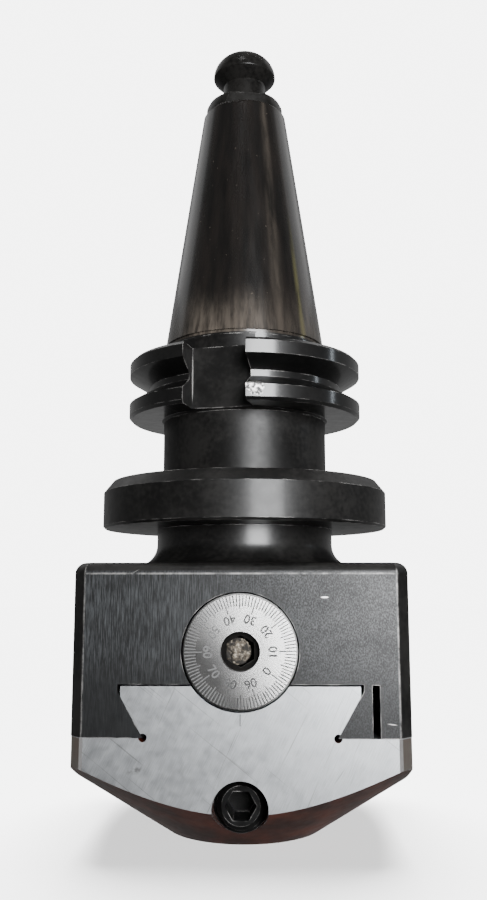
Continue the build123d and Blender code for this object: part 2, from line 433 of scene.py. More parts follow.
@dataclass(frozen=True)
class BlackOxide(Finish):
    """Satin black oxide on turned steel, rubbed bright at its edges."""

    name: str = "black_oxide"
    dark: Colour = grey(0.003, 0.04)
    pale: Colour = grey(0.009, 0.05)
    bare: Colour = grey(0.42, 0.03)
    roughness: float = 0.4
    gloss: float = 0.2
    wear: float = 0.6
    wear_radius: float = 0.3 * MM
    grain: float = 900.0
    satin_scale: float = 4500.0
    satin_depth: float = 0.02 * MM
    satin_strength: float = 0.35

    def coat(self, bench: NodeBench) -> tuple[Socket, Socket, Socket]:
        """The oxide's colour, roughness and how bare it is rubbed.

        Args:
            bench: The material's bench.

        Returns:
            Sockets for the colour, the roughness and the bare share.
        """
        cloud = bench.noise(70.0, 4.0)
        speck = bench.noise(self.grain, 3.0)
        tone = bench.blend(0.4, cloud, speck)
        colour = bench.mix(bench.ramp(tone, 0.38, 0.62), self.dark, self.pale)
        patchy = bench.ramp(bench.noise(260.0, 3.0), 0.42, 0.68)
        bare = bench.times(bench.edge(self.wear_radius), patchy, self.wear)
        rough = bench.span(bench.noise(400.0, 3.0), self.roughness - 0.1, self.roughness + 0.1)
        return bench.mix(bare, colour, self.bare), rough, bare

    def satin(self, bench: NodeBench, normal: Socket | None = None) -> Socket:
        """The oxide's fine satin grain.

        Args:
            bench: The material's bench.
            normal: A bent normal to build on, or None.

        Returns:
            The bent normal's socket.
        """
        return bench.bump(bench.noise(self.satin_scale, 2.0), self.satin_depth, self.satin_strength, normal)

    def lay(self, bench: NodeBench) -> None:
        """Lays the coat over a fine satin grain.

        Args:
            bench: The material's bench.
        """
        colour, rough, bare = self.coat(bench)
        bench.finish(Base_Color=colour, Roughness=rough, Metallic=bare, Normal=self.satin(bench))
        bench.finish(Specular_IOR_Level=self.gloss)


@dataclass(frozen=True)
class ArborOxide(BlackOxide):
    """Black oxide on the arbor's flange, neck and disc, with a dark polished and stained taper above."""

    name: str = "arbor_oxide"
    taper_foot: float = 1.0 * MM
    flange_foot: float = -19.05 * MM
    taper_dark: Colour = grey(0.0025, 0.05)
    taper_brown: Colour = (0.0088, 0.007, 0.006, 1.0)
    # Pale rub at the taper's foot, also the colour of its painted reflection streak.
    taper_rub: Colour = (0.11, 0.092, 0.075, 1.0)
    # Olive tint of a painted reflection streak down the taper.
    taper_olive: Colour = (0.038, 0.035, 0.014, 1.0)
    rub_top: float = 22.0 * MM
    rub_angle: float = math.radians(-14)
    rub_width: float = math.radians(14)
    rub_least: float = 0.3
    streak_angle: float = math.radians(27)
    streak_width: float = math.radians(7)
    streak_share: float = 0.35
    olive_angle: float = math.radians(47)
    olive_width: float = math.radians(4)
    olive_top: float = 40.0 * MM
    olive_full: float = 16.0 * MM
    polish: float = 0.27
    polish_spread: float = 0.12
    shine: float = 0.7
    jet: Colour = grey(0.0008)
    jet_share: float = 0.65
    taper_shine: float = 0.5
    disc_wall: float = -39.33 * MM
    disc_shine: float = 0.15
    slot_turn: float = math.radians(12.7)
    slot_half: float = 8.1 * MM
    pit: Triple = (3.6 * MM, -31.6 * MM, -15.6 * MM)
    pit_radius: float = 2.2 * MM
    pit_share: float = 0.85
    corner: Triple = (-12.82 * MM, -20.28 * MM, -11.1 * MM)
    corner_width: float = 0.3 * MM
    corner_stretch: Triple = (1.0, 1.0, 24.0)
    ring_depth: float = 0.012 * MM
    satin_strength: float = 0.2
    coat_roughness: float = 0.16

    def taper_colour(self, bench: NodeBench, height: Socket) -> Socket:
        """The taper's streaked brown-black stain, rubbed paler at its foot, with a painted pale reflection
        streak and a painted olive reflection streak down its right side.

        Args:
            bench: The material's bench.
            height: The Z coordinate.

        Returns:
            The colour's socket.
        """
        streak = bench.noise(330.0, 3.0, bench.moved(size=Axis.Z.stretch(70.0)), 0.55)
        stain = bench.noise(110.0, 5.0, bench.moved(size=Axis.Z.stretch(2.6)), 0.6)
        fine = bench.noise(700.0, 3.0, bench.moved(size=Axis.Z.stretch(24.0)), 0.65)
        tone = bench.blend(0.3, streak, stain)
        colour = bench.mix(bench.ramp(tone, 0.28, 0.76), self.taper_dark, self.taper_brown)
        across, depth, _ = bench.parts(bench.place)
        around = bench.calc("ARCTAN2", across, bench.times(depth, -1.0))
        beside = bench.ramp(bench.off(around, self.rub_angle), 3.0 * self.rub_width, self.rub_width)
        handled = bench.span(beside, self.rub_least, 1.0)
        low = bench.calc("ADD", bench.ramp(height, self.rub_top, 0.0), bench.calc("SUBTRACT", stain, 0.5))
        foot = bench.times(bench.ramp(low, 0.2, 1.45), bench.ramp(fine, 0.14, 0.72), handled)
        specks = bench.times(bench.ramp(bench.noise(900.0, 2.0), 0.72, 0.78), 0.5)
        # Painted reflection: a pale streak down the taper, painted in the rubbed colour.
        band = bench.ramp(bench.off(around, self.streak_angle), self.streak_width, 0.0)
        painted_sheen = bench.times(band, bench.ramp(tone, 0.3, 0.75), self.streak_share)
        # Painted reflection: a thin olive streak down the lower taper.
        olive_band = bench.ramp(bench.off(around, self.olive_angle), self.olive_width, 0.0)
        lower = bench.ramp(height, self.olive_top, self.olive_full)
        painted_light_mask = bench.times(olive_band, lower, bench.ramp(fine, 0.2, 0.6))
        colour = bench.mix(painted_light_mask, colour, self.taper_olive)
        return bench.mix(bench.most(foot, specks, painted_sheen), colour, self.taper_rub)

    def pit_patch(self, bench: NodeBench) -> Socket:
        """The ragged patch on the flange where the oxide is pitted through.

        Args:
            bench: The material's bench.

        Returns:
            The mask's socket.
        """
        ragged = bench.length(bench.moved(self.pit))
        wander = bench.times(bench.noise(520.0, 3.0), 2.2 * self.pit_radius)
        return bench.ramp(bench.calc("ADD", ragged, wander), 2.1 * self.pit_radius, 1.85 * self.pit_radius)

    def bare_spots(self, bench: NodeBench, patch: Socket) -> Socket:
        """Bare steel between the patch's pits and along the rubbed corner of the drive slot.

        Args:
            bench: The material's bench.
            patch: The mask of the pitted patch.

        Returns:
            The mask's socket.
        """
        pitted = bench.times(patch, bench.ramp(bench.noise(1300.0, 3.0), 0.4, 0.6))
        line = bench.spot(self.corner, 0.5 * self.corner_width, self.corner_width, self.corner_stretch)
        return bench.most(bench.times(pitted, self.pit_share), bench.times(line, 0.5))

    def flange_walls(self, bench: NodeBench, height: Socket) -> Socket:
        """The flange's polished walls, without its drive slots and its top.

        Args:
            bench: The material's bench.
            height: The Z coordinate.

        Returns:
            The mask's socket.
        """
        across, depth, _ = bench.parts(bench.place)
        along = bench.times(across, math.cos(self.slot_turn))
        aside = bench.calc("SUBTRACT", along, bench.times(depth, math.sin(self.slot_turn)))
        wall = bench.ramp(bench.unsigned(aside), self.slot_half, self.slot_half + FADE)
        flange = bench.ramp(height, self.flange_foot - FADE, self.flange_foot)
        below = bench.ramp(bench.parts(bench.facing)[2], 0.99, 0.95)
        return bench.times(flange, wall, below)

    def lustre(self, bench: NodeBench, height: Socket, taper: Socket, walls: Socket) -> Socket:
        """How much clear lustre lies on the taper, the flange and the disc.

        Args:
            bench: The material's bench.
            height: The Z coordinate.
            taper: The mask of the taper.
            walls: The mask of the flange's walls.

        Returns:
            The lustre's socket.
        """
        disc = bench.times(bench.ramp(height, self.disc_wall + FADE, self.disc_wall), self.disc_shine)
        return bench.blend(taper, bench.most(bench.span(walls, 0.0, self.shine), disc), self.taper_shine)

    def lay(self, bench: NodeBench) -> None:
        """Lays the oxide, the taper above it and the bare spots of the flange.

        Args:
            bench: The material's bench.
        """
        height = bench.parts(bench.place)[2]
        taper = bench.ramp(height, self.taper_foot - FADE, self.taper_foot + FADE)
        coat, rough, rubbed = self.coat(bench)
        walls = self.flange_walls(bench, height)
        patch = self.pit_patch(bench)
        bare = bench.most(rubbed, self.bare_spots(bench, patch))
        coat = bench.mix(bench.span(walls, 0.0, self.jet_share), coat, self.jet)
        coat = bench.mix(bare, coat, self.bare)
        colour = bench.mix(taper, coat, self.taper_colour(bench, height))
        streak = bench.noise(500.0, 2.0, bench.moved(size=Axis.Z.stretch(30.0)))
        polish = bench.span(streak, self.polish - self.polish_spread, self.polish + self.polish_spread)
        marks = bench.noise(1900.0, 1.0, bench.moved(size=(40.0, 40.0, 1.0)))
        rings = bench.bump(marks, self.ring_depth, 0.6, self.satin(bench))
        bench.finish(Base_Color=colour, Roughness=bench.blend(taper, rough, polish), Normal=rings)
        bench.finish(Metallic=bare, Specular_IOR_Level=self.gloss)
        lustre = self.lustre(bench, height, taper, walls)
        whole = bench.span(patch, 1.0, 1.0 - self.pit_share)
        bench.finish(Coat_Weight=bench.times(lustre, whole), Coat_Roughness=self.coat_roughness)


@dataclass(frozen=True)
class BlockOxide(BlackOxide):
    """Black oxide on the head's block, over ground ends that show upright grinding marks."""

    name: str = "block_oxide"
    ground_dark: Colour = grey(0.003, -0.08)
    ground_pale: Colour = grey(0.032, -0.07)
    boss_foot: float = -57.0 * MM
    boss_shine: float = 0.52
    end_shine: float = 0.26
    face_top: float = -61.08 * MM
    face_half: float = 36.1 * MM
    face_depth: float = 35.72 * MM
    nick_radius: float = 0.25 * MM
    nick: Triple = (19.4 * MM, -35.7 * MM, -66.5 * MM)
    scrape: Triple = (34.2 * MM, -35.7 * MM, -94.7 * MM)
    corner_scratch: Triple = (-24.5 * MM, -35.4 * MM, -60.7 * MM)
    # Painted shade darkening the ground end towards its lower left corner.
    oil: Triple = (-33.0 * MM, -35.7 * MM, -97.0 * MM)
    oil_radius: float = 26.0 * MM
    oil_share: float = 0.4
    # Painted shade: the ends' lower legs darken towards the bottom.
    legs_top: float = -76.0 * MM
    legs_dark: float = -91.0 * MM
    legs_share: float = 0.45
    end_from: float = 34.0 * MM
    end_full: float = 35.0 * MM
    marks_fade: Pair = (14.0 * MM, -16.0 * MM)
    grind_depth: float = 0.012 * MM
    satin_strength: float = 0.2
    coat_roughness: float = 0.24

    def worn(self, bench: NodeBench, bare: Socket) -> Socket:
        """Where the oxide is rubbed through: the edges of the ends, a nick, a scrape and a scratch.

        Args:
            bench: The material's bench.
            bare: The mask of the rubbed edges.

        Returns:
            The mask's socket.
        """
        across, depth, height = bench.parts(bench.place)
        top = bench.ramp(bench.off(height, self.face_top), 0.32 * MM, 0.04 * MM)
        sides = bench.ramp(bench.off(bench.unsigned(across), self.face_half), 0.4 * MM, FADE)
        right = bench.span(bench.ramp(across, 0.0, 30.0 * MM), 0.45, 1.0)
        outer = bench.ramp(bench.unsigned(depth), self.face_depth - 0.5 * MM, self.face_depth - FADE)
        patchy = bench.ramp(bench.noise(330.0, 6.0, None, 0.75), 0.32, 0.72)
        edges = bench.times(bench.most(top, bench.times(sides, right)), outer, patchy, 0.5)
        full, wide = 0.3 * self.nick_radius, self.nick_radius
        nick = bench.spot(self.nick, 2.0 * full, wide, (4.2, 1, 1))
        scrape = bench.spot(self.scrape, full, wide, (5.5, 1, 0.7), 0.12)
        scratch = bench.spot(self.corner_scratch, full, wide, (6.0, 2, 0.5), -0.5)
        return bench.most(bare, edges, nick, bench.times(scrape, 0.7), bench.times(scratch, 0.4))

    def lay(self, bench: NodeBench) -> None:
        """Lays the oxide and, on the ends, the grinding marks and the wear.

        Args:
            bench: The material's bench.
        """
        coat, rough, bare = self.coat(bench)
        side, depth, height = bench.parts(bench.place)
        towards = bench.unsigned(bench.parts(bench.facing)[1])
        outer = bench.ramp(bench.unsigned(depth), self.end_from, self.end_full)
        end = bench.times(bench.ramp(towards, 0.95, 0.995), outer)
        marks = bench.noise(4400.0, 3.0, bench.moved(size=Axis.Z.stretch(20.0)), 0.75)
        mottle = bench.noise(3700.0, 3.0, bench.moved(size=Axis.Z.stretch(1.8)), 0.75)
        upright = bench.most(bench.ramp(side, *self.marks_fade), bench.ramp(depth, 0.0, MM))
        tone = bench.blend(0.15, bench.blend(upright, mottle, marks), bench.noise(150.0, 3.0))
        # Painted shade: the grinding marks darken towards the lower left corner.
        painted_light_mask = bench.spot(self.oil, 0.2 * self.oil_radius, self.oil_radius, (1.2, 1, 0.8))
        # Painted shade: the grinding marks darken towards the bottom of the legs.
        legs = bench.ramp(height, self.legs_top, self.legs_dark)
        shade = bench.times(bench.span(painted_light_mask, 1.0, self.oil_share), bench.span(legs, 1.0, self.legs_share))
        lit = bench.times(bench.ramp(tone, 0.42, 0.64), shade)
        ground = bench.mix(lit, self.ground_dark, self.ground_pale)
        worn = self.worn(bench, bare)
        colour = bench.mix(worn, bench.mix(end, coat, ground), self.bare)
        grain = bench.bump(bench.times(marks, end), self.grind_depth, 0.5)
        boss = bench.ramp(height, self.boss_foot - 0.5 * MM, self.boss_foot)
        shine = bench.times(end, self.end_shine, bench.span(lit, 0.15, 1.0))
        lustre = bench.most(bench.times(boss, self.boss_shine), shine)
        bench.finish(Base_Color=colour, Roughness=rough, Metallic=worn, Normal=self.satin(bench, grain))
        bench.finish(Specular_IOR_Level=self.gloss)
        bench.finish(Coat_Weight=lustre, Coat_Roughness=self.coat_roughness)


@dataclass(frozen=True)
class SlideSteel(Finish):
    """Bare ground steel on the slide's ends and dovetail, with a brown-black turned underside."""

    name: str = "ground_steel"
    pale: Colour = grey(0.325, -0.03)
    dull: Colour = grey(0.25, -0.03)
    scratch: Colour = grey(0.13)
    brown: Colour = (0.06, 0.015, 0.008, 1.0)
    black: Colour = (0.02, 0.0068, 0.0045, 1.0)
    stain: Triple = (-23.5 * MM, -35.7 * MM, -104.8 * MM)
    stain_radius: float = 2.2 * MM
    long_scratch: Triple = (12.3 * MM, -35.7 * MM, -97.9 * MM)
    short_scratch: Triple = (22.3 * MM, -35.7 * MM, -105.8 * MM)
    side: Colour = (0.04, 0.037, 0.033, 1.0)
    ways: float = -97.83 * MM
    hole: Triple = (0.0, 0.0, -113.48 * MM)
    hole_radius: float = 6.4 * MM
    pitch: float = 1.27 * MM
    thread_depth: float = 0.5 * MM
    roughness: float = 0.36
    gloss: float = 0.1
    lay_turn: float = math.radians(-63)
    fine_turn: float = math.radians(-66)
    cross_turn: float = math.radians(38)
    long_turn: float = math.radians(-62)
    short_turn: float = math.radians(-54)
    edge_radius: float = 0.4 * MM
    mark_depth: float = 0.006 * MM

    def ground(self, bench: NodeBench) -> tuple[Socket, Socket, Socket]:
        """The ground face's colour, roughness and height.

        Args:
            bench: The material's bench.

        Returns:
            Sockets for the colour, the roughness and the height.
        """
        cloud = bench.noise(110.0, 5.0, None, 0.65)
        drawn = bench.moved(turn=(0.0, self.lay_turn, 0.0), size=Axis.X.stretch(26.0))
        lay = bench.noise(7000.0, 2.0, drawn)
        tone = bench.blend(0.5, cloud, lay)
        colour = bench.mix(bench.ramp(tone, 0.36, 0.62), self.dull, self.pale)
        fine = bench.scratches(3200.0, (0.0, self.fine_turn, 0.0), Axis.X, 0.7)
        cross = bench.scratches(2400.0, (0.0, self.cross_turn, 0.0), Axis.X, 0.71)
        long = bench.spot(self.long_scratch, 0.05 * MM, 0.16 * MM, (60, 1, 1), self.long_turn)
        short = bench.spot(self.short_scratch, 0.05 * MM, 0.18 * MM, (16, 1, 1), self.short_turn)
        marks = bench.times(bench.most(fine, cross, long, short), 0.6)
        dirty = bench.spot(self.stain, 0.1 * self.stain_radius, self.stain_radius, (1.5, 1, 0.6), -0.2)
        smear = bench.times(dirty, bench.ramp(bench.noise(700.0, 4.0), 0.42, 0.62))
        colour = bench.mix(bench.most(marks, smear), colour, self.scratch)
        rough = bench.span(bench.noise(500.0, 3.0), self.roughness - 0.08, self.roughness + 0.1)
        return colour, rough, bench.calc("SUBTRACT", lay, bench.times(marks, 0.6))

    def thread(self, bench: NodeBench) -> tuple[Socket, Socket]:
        """The thread in the clamp screw's hole.

        Args:
            bench: The material's bench.

        Returns:
            Sockets for the mask of the hole and the thread's height from 0 to 1.
        """
        across, along, up = bench.parts(bench.moved(self.hole))
        hole = bench.ramp(bench.radius(across, up), self.hole_radius + FADE, self.hole_radius + 0.02 * MM)
        turn = bench.calc("DIVIDE", bench.calc("ARCTAN2", across, up), math.tau)
        phase = bench.calc("FRACT", bench.calc("SUBTRACT", bench.calc("DIVIDE", along, self.pitch), turn))
        return hole, bench.times(bench.off(phase, 0.5), 2.0)

    def lay(self, bench: NodeBench) -> None:
        """Lays ground steel on the flats and the dovetail, and the dark turned finish below.

        Args:
            bench: The material's bench.
        """
        _, towards, upwards = bench.parts(bench.facing)
        height = bench.parts(bench.place)[2]
        flat = bench.ramp(bench.unsigned(towards), 0.9, 0.97)
        bright = bench.most(flat, bench.ramp(height, self.ways - 2.0 * FADE, self.ways))
        colour, rough, lie = self.ground(bench)
        rings = bench.noise(1800.0, 2.0, bench.moved(size=(26.0, 26.0, 1.0)))
        dark = bench.mix(bench.ramp(bench.noise(120.0, 5.0), 0.32, 0.7), self.black, self.brown)
        upright = bench.ramp(bench.unsigned(upwards), 0.3, 0.1)
        patchy = bench.span(bench.ramp(bench.noise(240.0, 4.0), 0.3, 0.65), 0.82, 1.0)
        dark = bench.mix(bench.times(upright, patchy), dark, self.side)
        hole, crest = self.thread(bench)
        hole = bench.times(hole, bench.span(flat, 1.0, 0.0))
        # Painted shade: the wall of the clamp screw's hole is darkened to black.
        dark = bench.mix(hole, dark, self.black)
        rubbed = bench.ramp(bench.noise(300.0, 3.0), 0.45, 0.7)
        worn = bench.times(bench.edge(self.edge_radius), rubbed, 0.5)
        crests = bench.times(hole, bench.ramp(crest, 0.7, 0.95), 0.6)
        bare = bench.most(bright, worn, crests)
        marks = bench.bump(bench.blend(bright, rings, lie), self.mark_depth, 0.5)
        ridges = bench.bump(bench.times(crest, hole), self.thread_depth, 1.0, marks)
        bench.finish(Base_Color=bench.mix(bare, dark, colour), Metallic=bare, Roughness=rough)
        bench.finish(Normal=ridges, Specular_IOR_Level=self.gloss)


@dataclass(frozen=True)
class DialSatin(Finish):
    """Satin chrome turned round the dial's axis."""

    name: str = "dial_satin"
    centre: Triple = (0.0, 0.0, 0.0)
    pale: Colour = grey(0.7, 0.005)
    dull: Colour = grey(0.6, 0.01)
    # Painted shade that darkens the face towards the lower left.
    tarnish: Colour = grey(0.045, 0.02)
    tarnish_reach: float = 9.5 * MM
    tarnish_way: Pair = (0.85, 0.53)
    roughness: float = 0.27
    edge_roughness: float = 0.6

    def lay(self, bench: NodeBench) -> None:
        """Lays rings of turning marks, with painted shade that darkens the face towards the lower left.

        Args:
            bench: The material's bench.
        """
        across, _, up = bench.parts(bench.moved(self.centre))
        inputs = {"W": bench.radius(across, up), "Scale": 9000.0, "Detail": 2.0}
        rings = bench.add("ShaderNodeTexNoise", inputs, noise_dimensions="1D").outputs[0]
        cloud = bench.noise(220.0, 4.0)
        tone = bench.blend(0.6, rings, cloud)
        colour = bench.mix(bench.ramp(tone, 0.36, 0.64), self.dull, self.pale)
        # Painted shade: the face darkens from the upper right towards the lower left.
        right, top = self.tarnish_way
        slant = bench.calc("ADD", bench.times(across, right), bench.times(up, top))
        worn = bench.ramp(slant, self.tarnish_reach, -self.tarnish_reach)
        colour = bench.mix(bench.times(worn, bench.span(cloud, 0.85, 1.0)), colour, self.tarnish)
        chamfer = bench.ramp(bench.unsigned(bench.parts(bench.facing)[1]), 0.95, 0.85)
        rough = bench.blend(chamfer, self.roughness, self.edge_roughness)
        bench.finish(Base_Color=colour, Roughness=rough, Metallic=1.0, Anisotropic=0.15)
        bench.finish(Tangent=bench.add("ShaderNodeTangent", direction_type="RADIAL", axis="Y").outputs[0])


@dataclass(frozen=True)
class TurnedMetal(Finish):
    """Plain turned metal with fine marks."""

    name: str = "turned_metal"
    pale: Colour = grey(0.3, 0.04)
    dull: Colour = grey(0.16, 0.06)
    roughness: float = 0.4

    def lay(self, bench: NodeBench) -> None:
        """Lays patchy bare metal over fine turning marks.

        Args:
            bench: The material's bench.
        """
        tone = bench.noise(900.0, 3.0)
        colour = bench.mix(bench.ramp(tone, 0.4, 0.62), self.dull, self.pale)
        rough = bench.span(bench.noise(500.0, 3.0), self.roughness - 0.1, self.roughness + 0.14)
        marks = bench.noise(3000.0, 1.0, bench.moved(size=Axis.X.stretch(20.0)))
        bench.finish(Base_Color=colour, Roughness=rough, Metallic=1.0)
        bench.finish(Normal=bench.bump(marks, 0.006 * MM, 0.5))


@dataclass(frozen=True)
class Muck(Finish):
    """Dried grease and swarf caked in a socket."""

    name: str = "caked_muck"
    pale: Colour = (0.32, 0.28, 0.22, 1.0)
    brown: Colour = (0.075, 0.06, 0.043, 1.0)
    # Dark of the gaps, also used for the painted shade on the lump's sides.
    dark: Colour = (0.01, 0.008, 0.006, 1.0)

    def lay(self, bench: NodeBench) -> None:
        """Lays crumbs of beige and brown with dark gaps, and painted shade on the lump's sides that face away
        from the front.

        Args:
            bench: The material's bench.
        """
        crumb = bench.noise(1300.0, 4.0, None, 0.65)
        gap = bench.noise(620.0, 4.0, None, 0.6)
        crumbs = bench.mix(bench.ramp(crumb, 0.45, 0.68), self.brown, self.pale)
        colour = bench.mix(bench.ramp(gap, 0.42, 0.58), self.dark, crumbs)
        # Painted shade: the lump darkens where it faces sideways.
        rim = bench.ramp(bench.unsigned(bench.parts(bench.facing)[1]), 0.9, 0.4)
        colour = bench.mix(rim, colour, self.dark)
        bench.finish(Base_Color=colour, Roughness=0.8, Normal=bench.bump(crumb, 0.4 * MM, 0.7))


@dataclass(frozen=True)
class Ink(Finish):
    """Dark filling of engraved lines and numbers, thin in places."""

    name: str = "engraving_ink"
    full: Colour = grey(0.008)
    thin: Colour = grey(0.04)
    lost: Colour = grey(0.11)
    lost_from: float = -1.0 * MM
    lost_to: float = -6.5 * MM

    def lay(self, bench: NodeBench) -> None:
        """Lays the filling's patchy darkness, with a painted reflection that greys it on the dial's left.

        Args:
            bench: The material's bench.
        """
        patchy = bench.mix(bench.ramp(bench.noise(700.0, 3.0), 0.45, 0.7), self.full, self.thin)
        # Painted reflection: the filling turns grey towards the dial's left.
        left = bench.ramp(bench.parts(bench.place)[0], self.lost_from, self.lost_to)
        colour = bench.mix(bench.times(left, 0.75), patchy, self.lost)
        bench.finish(Base_Color=colour, Roughness=0.6)


@dataclass(frozen=True)
class PaleFloor(Finish):
    """Matt white paper that the head stands on."""

    name: str = "pale_floor"
    tone: Colour = grey(0.86)
    shade: Colour = grey(0.84)

    def lay(self, bench: NodeBench) -> None:
        """Lays a faintly uneven white.

        Args:
            bench: The material's bench.
        """
        colour = bench.mix(bench.noise(6.0, 2.0), self.shade, self.tone)
        bench.finish(Base_Color=colour, Roughness=0.9)


def wear(node: str, finish: Finish) -> None:
    """Gives a CAD node a finish.

    Args:
        node: The node's name.
        finish: Its finish.
    """
    slots = frame["nodes"][node].material_slots
    for place in slots:
        place.material = finish.material()
    log.info("%s wears %s", node, finish.name)


def put(name: str, data: bpy.types.ID) -> bpy.types.Object:
    """Makes an object of a mesh, a light or a camera and puts it in the scene.

    Args:
        name: The object's name.
        data: The mesh, light or camera.

    Returns:
        The new object.
    """
    made = bpy.data.objects.new(name, data)
    bpy.context.scene.collection.objects.link(made)
    return made


def meshed(name: str, shape: bmesh.types.BMesh, finish: Finish) -> bpy.types.Object:
    """Makes an object of a finished shape.

    Args:
        name: The object's name.
        shape: Its shape in the frame; it is freed.
        finish: Its finish.

    Returns:
        The new object.
    """
    mesh = bpy.data.meshes.new(name)
    shape.to_mesh(mesh)
    shape.free()
    mesh.materials.append(finish.material())
    return put(name, mesh)


def piece(name: str, shape: bmesh.types.BMesh, finish: Finish, body: Body) -> bpy.types.Object:
    """Makes an object of a finished shape and sets it on its body.

    Args:
        name: The piece's name.
        shape: Its shape in the frame; it is freed.
        finish: Its finish.
        body: The body it rides on.

    Returns:
        The new object.
    """
    made = meshed(name, shape, finish)
    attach(made, body.value)
    log.info("%s rides on %s with %d faces", name, body.value, len(made.data.polygons))
    return made


def smooth(made: bpy.types.Object, angle: float = math.radians(32)) -> None:
    """Shades a piece smooth but for its edges past an angle.

    Args:
        made: The piece.
        angle: Edges that turn by more stay sharp.
    """
    mesh = made.data
    mesh.shade_smooth()
    mesh.set_sharp_from_angle(angle=angle)


def arc(centre: Pair, radii: Pair, start: float, end: float, steps: int) -> list[Pair]:
    """Points along part of an ellipse.

    Args:
        centre: Its middle, out from the axis and along it.
        radii: Its half-widths in those two directions.
        start: Angle of the first point in degrees.
        end: Angle of the last point in degrees.
        steps: Number of steps between them.

    Returns:
        The points, in order.
    """
    turns = [math.radians(start + (end - start) * step / steps) for step in range(steps + 1)]
    return [(centre[0] + radii[0] * math.cos(turn), centre[1] + radii[1] * math.sin(turn)) for turn in turns]


def turned(profile: list[Pair], steps: int) -> bmesh.types.BMesh:
    """A shape turned round the Z axis.

    Args:
        profile: Its outline, out from the axis and along it.
        steps: Number of steps in a full turn.

    Returns:
        The new shape.
    """
    shape = bmesh.new()
    verts = [shape.verts.new((radius, 0.0, height)) for radius, height in profile]
    edges = [shape.edges.new(pair) for pair in zip(verts, verts[1:])]
    bmesh.ops.spin(shape, geom=verts + edges, axis=(0, 0, 1), angle=math.tau, steps=steps, use_merge=True)
    bmesh.ops.remove_doubles(shape, verts=shape.verts, dist=MERGE)
    bmesh.ops.recalc_face_normals(shape, faces=shape.faces)
    return shape


@dataclass
class Shank:
    """The taper arbor and the retention knob in its small end."""

    arbor: str = "taper_arbor"
    knob: str = "retention_knob"
    stud_radius: float = 7.9 * MM
    collar_radius: float = 11.0 * MM
    collar_height: float = 3.3 * MM
    collar_taper: float = 1.2 * MM
    collar_top_radius: float = 10.4 * MM
    collar_flats: float = 18.4 * MM
    collar_turn: float = math.radians(8.0)
    neck_radius: float = 6.2 * MM
    neck_height: float = 6.3 * MM
    neck_round: float = 0.8 * MM
    knob_radius: float = 9.0 * MM
    rim_round: float = 0.7 * MM
    knob_steps: int = 144
    oxide: ArborOxide = field(default_factory=ArborOxide)
    knob_oxide: BlackOxide = field(default_factory=lambda: BlackOxide(
        "knob_oxide", grey(0.003, 0.05), grey(0.009, 0.06), roughness=0.28, gloss=0.13, wear=0.3))

    def knob_profile(self) -> list[Pair]:
        """The knob's outline, from the stud's end up to the crown.

        Returns:
            Points, out from the axis and along it.
        """
        low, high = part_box(self.knob)
        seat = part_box(self.arbor)[1].z
        collar_top = seat + self.collar_height
        rim = collar_top + self.neck_height + self.knob_radius - self.neck_radius
        rim_middle = rim + self.rim_round * math.tan(math.radians(22.5))
        neck = self.neck_radius + self.neck_round
        rim_radii = (self.rim_round, self.rim_round)
        return [
            (0.0, low.z), (self.stud_radius, low.z), (self.stud_radius, seat), (self.collar_radius, seat),
            (self.collar_radius, collar_top - self.collar_taper), (self.collar_top_radius, collar_top),
            *arc((neck, collar_top + self.neck_round), (self.neck_round, self.neck_round), 270, 180, 5),
            (self.neck_radius, collar_top + self.neck_height),
            *arc((self.knob_radius - self.rim_round, rim_middle), rim_radii, -45, 0, 5),
            *arc((0.0, rim_middle), (self.knob_radius, high.z - rim_middle), 3, 90, 24),
        ]

    def rounded_knob(self) -> bpy.types.Object:
        """The knob with its crown truly round and the spanner flats on its collar.

        Returns:
            The new piece.
        """
        shape = turned(self.knob_profile(), self.knob_steps)
        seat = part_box(self.arbor)[1].z
        across = Vector((math.sin(self.collar_turn), -math.cos(self.collar_turn), 0.0))
        half = self.collar_flats / 2
        for vert in shape.verts:
            if seat - 0.01 * MM < vert.co.z < seat + self.collar_height + 0.01 * MM:
                reach = vert.co.dot(across)
                vert.co -= across * (reach - max(-half, min(half, reach)))
        made = piece("rounded_knob", shape, self.knob_oxide, Body.HEAD)
        smooth(made, math.radians(28))
        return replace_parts(made, self.knob)

    def dress(self) -> None:
        """Gives the arbor its finish."""
        wear(self.arbor, self.oxide)


